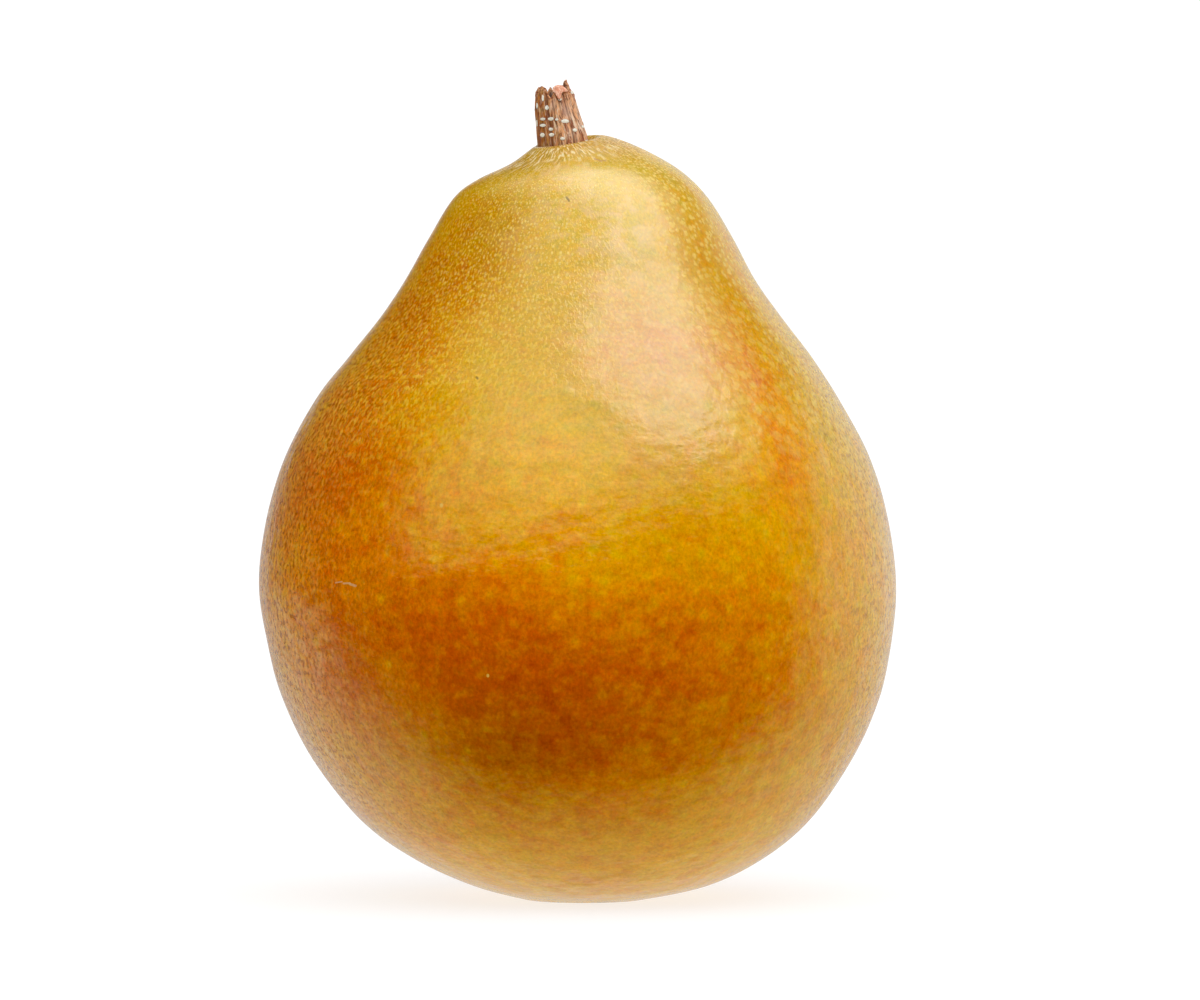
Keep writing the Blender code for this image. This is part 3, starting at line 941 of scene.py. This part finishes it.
def make_stem():
    around, foot_at = turns(STEM_SIDES), STEM_RINGS[0][0]
    rim = stem_rim(around)
    share = np.linspace(0, 1, STEM_LAYERS)[:, None]
    height = foot_at + share * (rim - foot_at)
    angle = np.broadcast_to(around, height.shape)
    ribs, groove_shade = stem_ribs(angle, height)
    side = stem_place(angle, height, ribs)
    pores = stem_pores(side.reshape(-1, 3), angle.ravel()).reshape(angle.shape)
    crumbs = wave(side, CRUMB_SIZE) * fade(rim - height, 1.1, 0.2)
    raised = (pores * PORE_RISE + crumbs * CRUMB_RISE) / STEM_RADIUS
    rows = [stem_place(angle, height, ribs + raised)]
    torn = [0.85 * fade((rim[0] - foot_at) * (1 - share[:, 0]), STEM_CRUST, 0)]
    hollow_shade = [np.zeros(STEM_LAYERS)]
    for radius_share, height_share, torn_share, dark in STEM_BREAK_RINGS:
        level = STEM_HOLLOW_AT + height_share * (rim - STEM_HOLLOW_AT)
        ring = stem_place(around, level, ribs[-1] * radius_share)
        ring[:, 2] += 0.16 * wave(ring * (1, 1, 0.3), 0.3) * (height_share < 1)
        rows.append(ring[None])
        torn.append([torn_share])
        hollow_shade.append([dark])
    rows = np.concatenate(rows)
    foot, middle = rows[0].mean(axis=0), rows[-1].mean(axis=0) - (0, 0, 0.1)
    flap, flap_faces = stem_flap(len(rows) * STEM_SIDES + 2)
    points = np.concatenate((rows.reshape(-1, 3), [foot, middle], flap))
    # The stem's rings run upwards, so its faces are turned over
    faces = [face[::-1] for face in lathe_faces(len(rows), STEM_SIDES)] + flap_faces
    stem = make_mesh("pear_stem", points, faces, bark_material())

    def by_row(shares, at_ends, on_flap):
        """One number for each point, from one for each row, for the two end points and for the flap."""
        return np.concatenate((np.repeat(shares, STEM_SIDES), at_ends, np.full(len(flap), on_flap)))

    def on_side(values):
        """One number for each point, from those of the stem's side and 0 elsewhere."""
        return np.concatenate((values.ravel(), np.zeros(len(points) - values.size)))

    x, y, z = points.T
    middle_x, half_width = stem_outline(z)
    smooth_bark = 0
    for patch_x, patch_z, reach, reach_up in STEM_SMOOTH_PATCHES:
        smooth_bark += bell(x - patch_x, reach) * bell(z - patch_z, reach_up) * (y < STEM_Y)
    fields = {
        "torn": by_row(np.concatenate(torn), (0, 0), 1),
        # Painted shade, darkest at the middle of the broken top
        "hollow_shade": by_row(np.concatenate(hollow_shade), (0, 1), 0),
        "flap": by_row(np.zeros(len(rows)), (0, 0), 1),
        "pore": on_side(pores),
        "under_flap": on_side(under_flap(angle, height)),
        "groove_shade": on_side(groove_shade * 0.8),
        "smooth_bark": np.minimum(smooth_bark, 1),
        "side": 0.5 + 0.5 * (x - middle_x) / half_width,
    }
    for name, values in fields.items():
        add_field(stem, name, values)
    return stem


def flap_edge(across):
    """The height of the flap's lower edge at a share of its width, and how much of it is the tongue."""
    tongue = bell(across - FLAP_TONGUE_SHARE, FLAP_TONGUE_WIDTH)
    return FLAP_EDGE_AT - (FLAP_EDGE_AT - FLAP_TONGUE_AT) * tongue, tongue


def under_flap(angle, height):
    """How much of the flap's shadow line lies on each point of the stem's side."""
    across = (angle - FLAP_FROM) / (FLAP_TO - FLAP_FROM)
    below = flap_edge(np.clip(across, 0, 1))[0] - height
    beside = fade(across, -0.1, 0.02) * fade(across, 1.1, 0.98)
    return 0.85 * beside * fade(below, 0.34, 0.06)


def stem_flap(start):
    """A closed strip of torn bark that rises from inside the rim, bends over it and ends in a tongue."""
    steps = np.linspace(0, 1, FLAP_STEPS)
    along, across = np.meshgrid(steps, steps, indexing="ij")
    angle = FLAP_FROM + across * (FLAP_TO - FLAP_FROM)
    low, tongue = flap_edge(across)
    top = FLAP_TOP - 0.35 * np.abs(2 * across - 1) ** 2
    rise = np.minimum(along / FLAP_BENDS_AT, 1)
    fall = np.maximum((along - FLAP_BENDS_AT) / (1 - FLAP_BENDS_AT), 0)
    height = FLAP_ROOT_AT + (top - FLAP_ROOT_AT) * np.sin(rise * math.pi / 2)
    height = height - (top - low) * (1 - np.cos(fall * math.pi / 2)) ** 0.9
    radius = 0.78 + 0.14 * rise + (0.13 + 0.1 * tongue) * np.sin(fall * math.pi / 2)
    rough = wave(to_points(across * 6, along * 4, across), 1)
    layers = []
    for offset in (0, FLAP_THICKNESS):
        layer = stem_place(angle, height, radius + offset / STEM_RADIUS_AT_RIM * (0.4 + fall))
        layer[..., 2] += offset * (1 - fall) + 0.1 * rough * (0.3 + fall)
        layers.append(layer.reshape(-1, 3))
    return shell(*layers, FLAP_STEPS, FLAP_STEPS, start)


def shell(inner, outer, rows, columns, start=0):
    """A closed sheet between two grids of points, as points and faces."""
    count = rows * columns
    faces = []
    for row in range(rows - 1):
        for column in range(columns - 1):
            a = start + row * columns + column
            b, c, d = a + 1, a + columns + 1, a + columns
            faces.append((a, b, c, d))
            faces.append((a + count, d + count, c + count, b + count))
    grid = start + np.arange(count).reshape(rows, columns)
    rim = np.concatenate((grid[0, :-1], grid[:-1, -1], grid[-1, :0:-1], grid[:0:-1, 0])).tolist()
    for a, b in zip(rim, rim[1:] + rim[:1]):
        faces.append((a, a + count, b + count, b))
    return np.concatenate((inner, outer)), faces


def make_sepal(number, material):
    """One dried sepal, wrinkled, cupped and curled at its tip."""
    rng = np.random.default_rng(SEPAL_SEED + number)
    turn = 2 * math.pi * (number - 0.5) / SEPALS + rng.uniform(-0.08, 0.08)
    curl = rng.uniform(0.5, 1.1)
    along, across = np.linspace(0, 1, SEPAL_ROWS), np.linspace(-1, 1, SEPAL_COLUMNS)
    along, across = np.meshgrid(along, across, indexing="ij")
    width = SEPAL_HALF_WIDTH * (1 - 0.97 * along**1.6) * (1 + 0.05 * np.sin(9 * along + number))
    sideways = width * across
    wrinkle = wave(to_points(across * 1.6, along * 3, number * 3.1), 0.5)
    lean = (SEPAL_TIP_RADIUS - SEPAL_ROOT_RADIUS) * along**1.6
    radius = SEPAL_ROOT_RADIUS + lean - 0.26 * across**2 * (1 - 0.5 * along) + 0.1 * wrinkle
    radius = radius - curl * fade(along, 0.7, 1) * 0.8
    height = CALYX_ROOT_AT - SEPAL_LENGTH * (along - 0.12 * along**3)
    height = height + curl * fade(along, 0.72, 1) * 0.25
    layers = []
    for offset in (0, SEPAL_THICKNESS):
        reach = radius + offset * (1 - 0.6 * along) * np.sqrt(np.maximum(1 - across**2, 0.04))
        x = CALYX_X + reach * math.cos(turn) - sideways * math.sin(turn)
        y = reach * math.sin(turn) + sideways * math.cos(turn)
        layers.append(to_points(x, y, height).reshape(-1, 3))
    points, faces = shell(*layers, SEPAL_ROWS, SEPAL_COLUMNS)
    sepal = make_mesh(f"pear_sepal_{number}", points, faces, material)
    tip = fade(along.ravel(), 0.75, 1) * 0.3 + 0.25 * np.abs(across.ravel()) ** 6
    add_field(sepal, "tip", np.tile(tip, 2))
    return sepal


def make_stamens():
    """The tuft of dried stamens: thin bent threads, most with a small knob at the tip."""
    rng = np.random.default_rng(STAMEN_SEED)
    points, faces, knobs = [], [], []
    along, around = np.linspace(0, 1, STAMEN_STEPS), turns(STAMEN_SIDES)
    for number in range(STAMENS):
        root_turn = number * math.pi * (3 - math.sqrt(5))
        root_radius = STAMENS_RADIUS * math.sqrt((number + 0.5) / STAMENS) * 0.75
        spread = rng.uniform(0.75, 1.35)
        bend = rng.uniform(-0.5, 0.5, 2)
        length = STAMEN_LENGTH * rng.uniform(0.72, 1)
        radius = root_radius * (1 + (spread - 1) * along)
        x = CALYX_X + radius * math.cos(root_turn) + bend[0] * along**2 * 0.6
        y = radius * math.sin(root_turn) + bend[1] * along**2 * 0.6
        z = CALYX_ROOT_AT - length * along
        knob = 1 + rng.uniform(0.9, 1.6) * bell(along - 0.93, 0.09)
        thickness = STAMEN_THICKNESS * rng.uniform(0.8, 1.2) * knob * np.where(along > 0.98, 0.4, 1)
        off_x, off_y = np.outer(thickness, np.cos(around)), np.outer(thickness, np.sin(around))
        rings = to_points(x[:, None] + off_x, y[:, None] + off_y, z[:, None]).reshape(-1, 3)
        ends = [(x[0], y[0], z[0] + 0.05), (x[-1], y[-1], z[-1] - 0.04)]
        points.append(np.concatenate((rings, ends)))
        faces += lathe_faces(STAMEN_STEPS, STAMEN_SIDES, number * len(points[0]))
        knobs.append(np.concatenate((np.repeat(bell(along - 0.93, 0.12), STAMEN_SIDES), [0, 1])))
    material = dry_material("dry_stamen", STAMEN_DARK, STAMEN_LIGHT, 0.15)
    stamens = make_mesh("pear_dried_stamens", np.concatenate(points), faces, material)
    add_field(stamens, "tip", np.concatenate(knobs) * 0.5)
    return stamens


def make_ground():
    """A round white table top, a little wider than the picture."""
    angle = turns(GROUND_SIDES)
    rim = to_points(np.cos(angle), np.sin(angle), 0) * GROUND_RADIUS
    material, nodes, shader = new_material("white_ground")
    grain = nodes.scaled(nodes.noise(nodes.position(), 3, 2), 0.02, 0.3)
    nodes.feed_all(shader, {
        "Base Color": nodes.shade(WHITE, grain),
        "Roughness": 0.9,
        "Specular IOR Level": 0.1,
        "Emission Color": (*WHITE, 1),
        "Emission Strength": GROUND_GLOW,
    })
    ground = make_mesh("ground", rim, [tuple(range(GROUND_SIDES))], material)
    ground.visible_glossy = False
    ground.visible_diffuse = False


def make_light():
    """A white studio: a soft dome for the general light, and a large soft box and screens for the gloss."""
    world = bpy.data.worlds.new("studio")
    world.use_nodes = True
    world.cycles.sampling_method = "NONE"
    nodes = Nodes(world.node_tree)
    look = nodes.add("TexCoord").outputs["Generated"]
    x, y, z = nodes.add("SeparateXYZ", {0: look}).outputs
    ray = nodes.add("LightPath").outputs
    light = nodes.blend(ray["Is Glossy Ray"], dome(nodes, look, y, z), gloss_light(nodes, x, y, z))
    light = nodes.blend(ray["Is Camera Ray"], light, BACKDROP_GLOW)
    nodes.feed_all(world.node_tree.nodes["Background"], {"Color": (*WHITE, 1), "Strength": light})
    bpy.context.scene.world = world


def dome(nodes, look, y, z):
    """The general light: the soft lamps, and light from behind and below."""
    lamps = []
    for direction, edge, middle, strength in LAMPS:
        inputs = {0: look, 1: Vector(direction).normalized()}
        facing = nodes.add("VectorMath", inputs, operation="DOT_PRODUCT").outputs["Value"]
        lamps.append(nodes.fade(facing, edge, middle, 0, strength))
    above_behind = nodes.times(nodes.fade(y, -0.1, 0.5), nodes.fade(z, 0, 0.35, 0, 0.83))
    below = nodes.times(nodes.fade(z, -0.25, -0.65), nodes.fade(y, -0.3, 0.3, 0.88, 1.65))
    return nodes.plus(*lamps, above_behind, below)


def gloss_light(nodes, x, y, z):
    """What shines in the skin: a box overhead, a broad dimmer panel in front of it and screens behind."""
    up = nodes.math("MAXIMUM", z, 0.1)
    across, along = nodes.math("DIVIDE", x, up), nodes.math("DIVIDE", y, up)

    # The box, whose left edge slants at the front, with a bright middle and a halo
    box = nodes.times(
        nodes.fade(nodes.scaled(nodes.math("MINIMUM", along, 0), 0.7, across), -0.26, -0.04),
        nodes.fade(across, 1.28, 0.78),
        nodes.fade(along, -0.95, -0.5),
        nodes.fade(nodes.scaled(across, 0.6, along), 0.9, 0.45),
        nodes.fade(z, 0.3, 0.5, 0, 3.3),
    )
    from_middle = nodes.length(nodes.plus(across, -0.42), nodes.plus(along, 0.1))
    middle = nodes.times(nodes.fade(from_middle, 0.65, 0.05), nodes.fade(z, 0.3, 0.5, 0, 0.9))
    halo = nodes.times(
        nodes.fade(across, -0.85, -0.4),
        nodes.fade(along, 0.95, 0.45),
        nodes.fade(along, -0.55, 0.15, 0.7, 1.25),
        nodes.fade(z, 0.5, 0.7),
    )

    # The panel in front
    frontness = nodes.math("DIVIDE", nodes.scaled(x, 0.35, nodes.times(y, -1)), nodes.length(x, y))
    frontness = nodes.plus(frontness, nodes.fade(x, 0.3, 0.7, 0, -0.33))
    front = nodes.times(
        nodes.fade(nodes.scaled(x, -0.1, z), 0.17, 0.5),
        nodes.fade(frontness, -0.22, 0.3, 0, 1.05),
        nodes.fade(z, 0.97, 0.8, 0.62, 1),
    )

    # The screens behind, whose top rises to the right
    behind = nodes.scaled(z, -0.5, nodes.plus(y, nodes.times(x, nodes.fade(z, -0.5, 0), 0.2)))
    raised = nodes.times(nodes.fade(y, 0.72, 0.92), nodes.fade(x, -0.2, 0.2), 0.55)
    top = nodes.plus(nodes.scaled(x, 0.3, 0.23), raised)
    screens = nodes.times(
        nodes.fade(behind, -0.03, 0.64),
        nodes.fade(nodes.math("SUBTRACT", z, top), 0.14, -0.14),
        nodes.fade(z, -1, -0.65, 0.5, 1),
        nodes.scaled(nodes.times(x, nodes.fade(z, -0.3, 0)), 0.45, 0.72),
        nodes.fade(x, -0.95, -0.4, 0.9, 1),
    )
    return nodes.plus(box, middle, halo, front, screens)


def make_camera():
    elevation = math.radians(CAMERA_ELEVATION)
    data = bpy.data.cameras.new("camera")
    data.sensor_width = SENSOR_WIDTH
    data.lens = SENSOR_WIDTH * CAMERA_DISTANCE / FRAME_WIDTH
    data.clip_start = 0.01
    camera = add_object("camera", data)
    towards = Vector((0, -math.cos(elevation), math.sin(elevation)))
    camera.location = (Vector(CAMERA_AIM) + towards * CAMERA_DISTANCE) * MM
    camera.rotation_euler = (math.pi / 2 - elevation, 0, 0)
    bpy.context.scene.camera = camera


def make_picture_tone():
    """Plain colours with a slightly deeper black, as in the photograph."""
    view = bpy.context.scene.view_settings
    view.view_transform = "Standard"
    view.use_curve_mapping = True
    view.curve_mapping.black_level = (BLACK_LEVEL, BLACK_LEVEL, BLACK_LEVEL)
    view.curve_mapping.update()


def stand_in(piece, node):
    """Puts a piece in the place of a node of the frame."""
    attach(piece, "root")
    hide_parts(node)


def main():
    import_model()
    make_picture_tone()
    make_camera()
    make_light()
    make_ground()
    stand_in(make_fruit(), "fruit")
    stand_in(make_stem(), "stem")
    sepal_material = dry_material("dry_sepal", SEPAL_DARK, SEPAL_LIGHT, 0.35)
    for number in range(1, SEPALS + 1):
        stand_in(make_sepal(number, sepal_material), f"sepal_{number}")
    stand_in(make_stamens(), "dried_stamens")


main()
